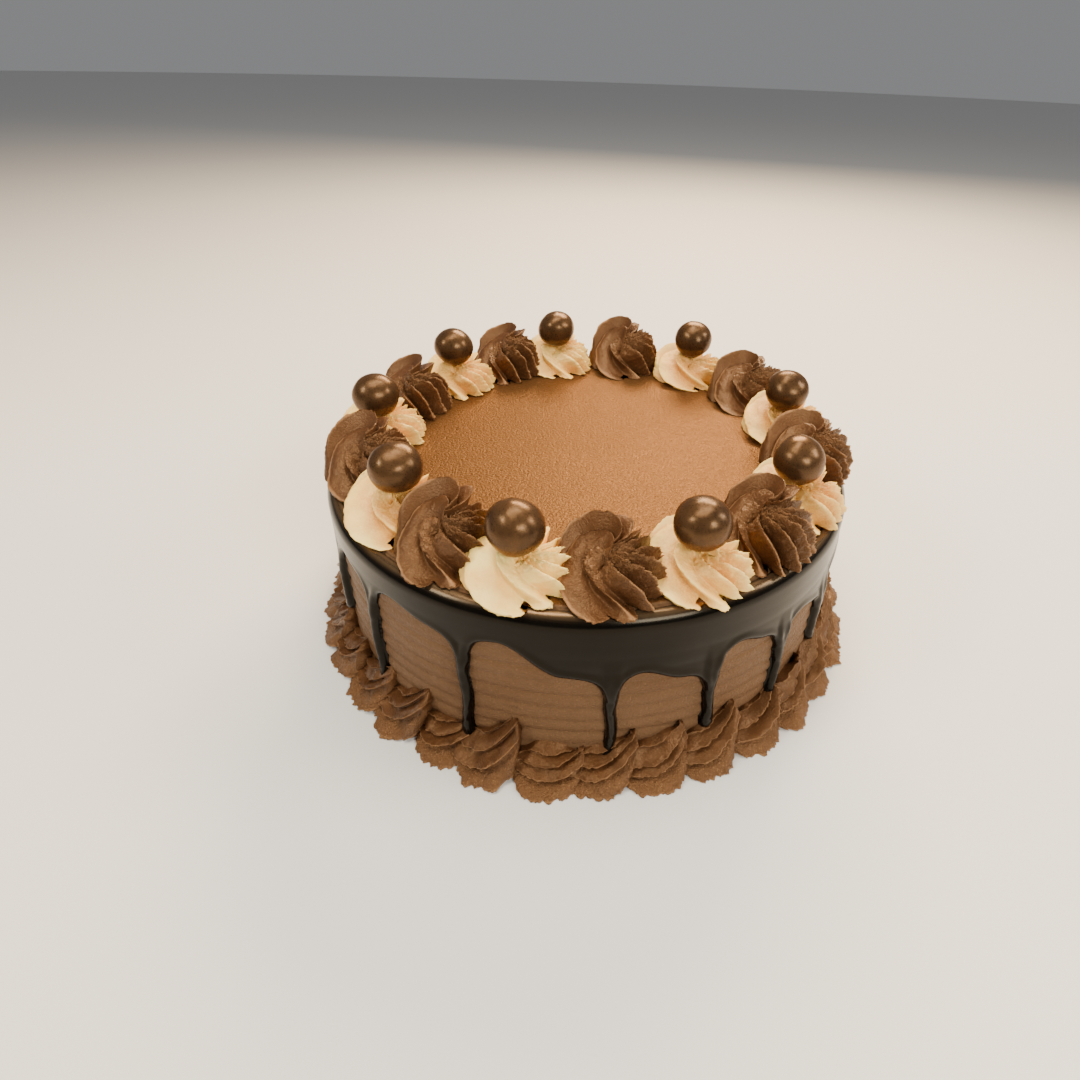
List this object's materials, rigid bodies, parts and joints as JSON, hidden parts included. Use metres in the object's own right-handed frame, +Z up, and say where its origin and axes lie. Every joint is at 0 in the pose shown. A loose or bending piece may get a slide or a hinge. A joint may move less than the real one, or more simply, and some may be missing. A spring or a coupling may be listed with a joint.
{
  "type": "chocolate drip layer cake",
  "caption": "Round chocolate buttercream layer cake with a dark drip glaze, a ring of piped rosettes topped with chocolate balls, and a piped shell border; prop food.",
  "frame": {"origin": "centre of the cake's flat underside", "axes": "+Z up, away from the surface the cake stands on; +X and +Y lie in that surface, -Y towards the viewer of the picture"},
  "size_m": [0.2409, 0.2412, 0.1042],
  "materials": {
    "chocolate_buttercream": "satin chocolate buttercream, smoothed on top and combed with level ridges round the wall",
    "ganache": "set dark chocolate ganache, a smooth skin with a soft grey sheen",
    "chocolate_piping": "piped chocolate buttercream with torn, slightly grainy edges",
    "cookie_butter_cream": "piped cookie butter cream, pale with a tan dusting",
    "ball_chocolate": "polished chocolate coating with a faint golden lustre"
  },
  "bodies": {
    "root": {"cake_body": "chocolate_buttercream", "ganache_drip": "ganache", "shell_border": "chocolate_piping", "choc_rosette_01": "chocolate_piping", "choc_rosette_02": "chocolate_piping", "choc_rosette_03": "chocolate_piping", "choc_rosette_04": "chocolate_piping", "choc_rosette_05": "chocolate_piping", "choc_rosette_06": "chocolate_piping", "choc_rosette_07": "chocolate_piping", "choc_rosette_08": "chocolate_piping", "choc_rosette_09": "chocolate_piping", "cream_rosette_01": "cookie_butter_cream", "cream_rosette_02": "cookie_butter_cream", "cream_rosette_03": "cookie_butter_cream", "cream_rosette_04": "cookie_butter_cream", "cream_rosette_05": "cookie_butter_cream", "cream_rosette_06": "cookie_butter_cream", "cream_rosette_07": "cookie_butter_cream", "cream_rosette_08": "cookie_butter_cream", "cream_rosette_09": "cookie_butter_cream", "chocolate_ball_01": "ball_chocolate", "chocolate_ball_02": "ball_chocolate", "chocolate_ball_03": "ball_chocolate", "chocolate_ball_04": "ball_chocolate", "chocolate_ball_05": "ball_chocolate", "chocolate_ball_06": "ball_chocolate", "chocolate_ball_07": "ball_chocolate", "chocolate_ball_08": "ball_chocolate", "chocolate_ball_09": "ball_chocolate"}
  },
  "joints": []
}
